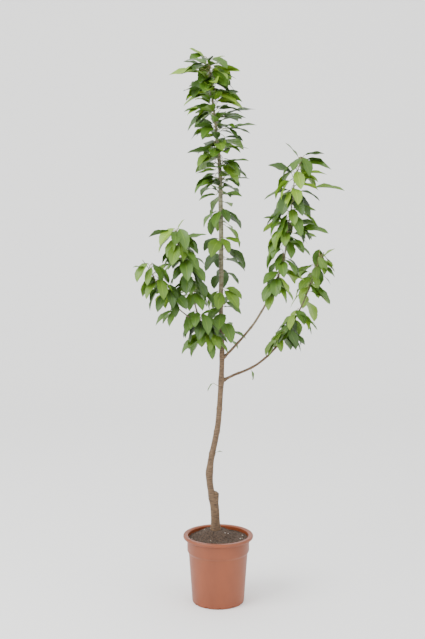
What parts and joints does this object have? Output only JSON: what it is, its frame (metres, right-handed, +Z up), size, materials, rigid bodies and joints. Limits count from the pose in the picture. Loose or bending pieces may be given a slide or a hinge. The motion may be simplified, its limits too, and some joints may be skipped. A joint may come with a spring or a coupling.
{
  "type": "potted sweet cherry tree",
  "caption": "Young grafted sweet cherry tree with a leafy leader and side boughs, standing in a round terracotta-coloured plastic nursery pot.",
  "frame": {"origin": "centre of the pot's flat underside", "axes": "+Z up along the tree, +X to the right in the picture, +Y away from the viewer"},
  "size_m": [0.6303, 0.3694, 1.7076],
  "materials": {
    "pot_plastic": "satin terracotta-coloured plastic",
    "compost": "coarse dark bark compost",
    "bark": "young cherry bark with fine cross lines",
    "leaf": "soft green leaves"
  },
  "bodies": {
    "root": {"pot": "pot_plastic", "soil": "compost", "trunk": "bark", "lower_right_bough": "bark", "upper_right_bough": "bark", "left_bough": "bark", "left_side_shoot": "bark", "crown_top_mass": "leaf", "crown_upper_mass": "leaf", "crown_lower_mass": "leaf", "leader_upper_leaves": "leaf", "leader_lower_leaves": "leaf", "left_top_mass": "leaf", "left_middle_mass": "leaf", "left_low_mass": "leaf", "left_side_mass": "leaf", "upper_right_top_mass": "leaf", "upper_right_middle_mass": "leaf", "upper_right_low_mass": "leaf", "lower_right_top_mass": "leaf", "lower_right_low_mass": "leaf"}
  },
  "joints": []
}
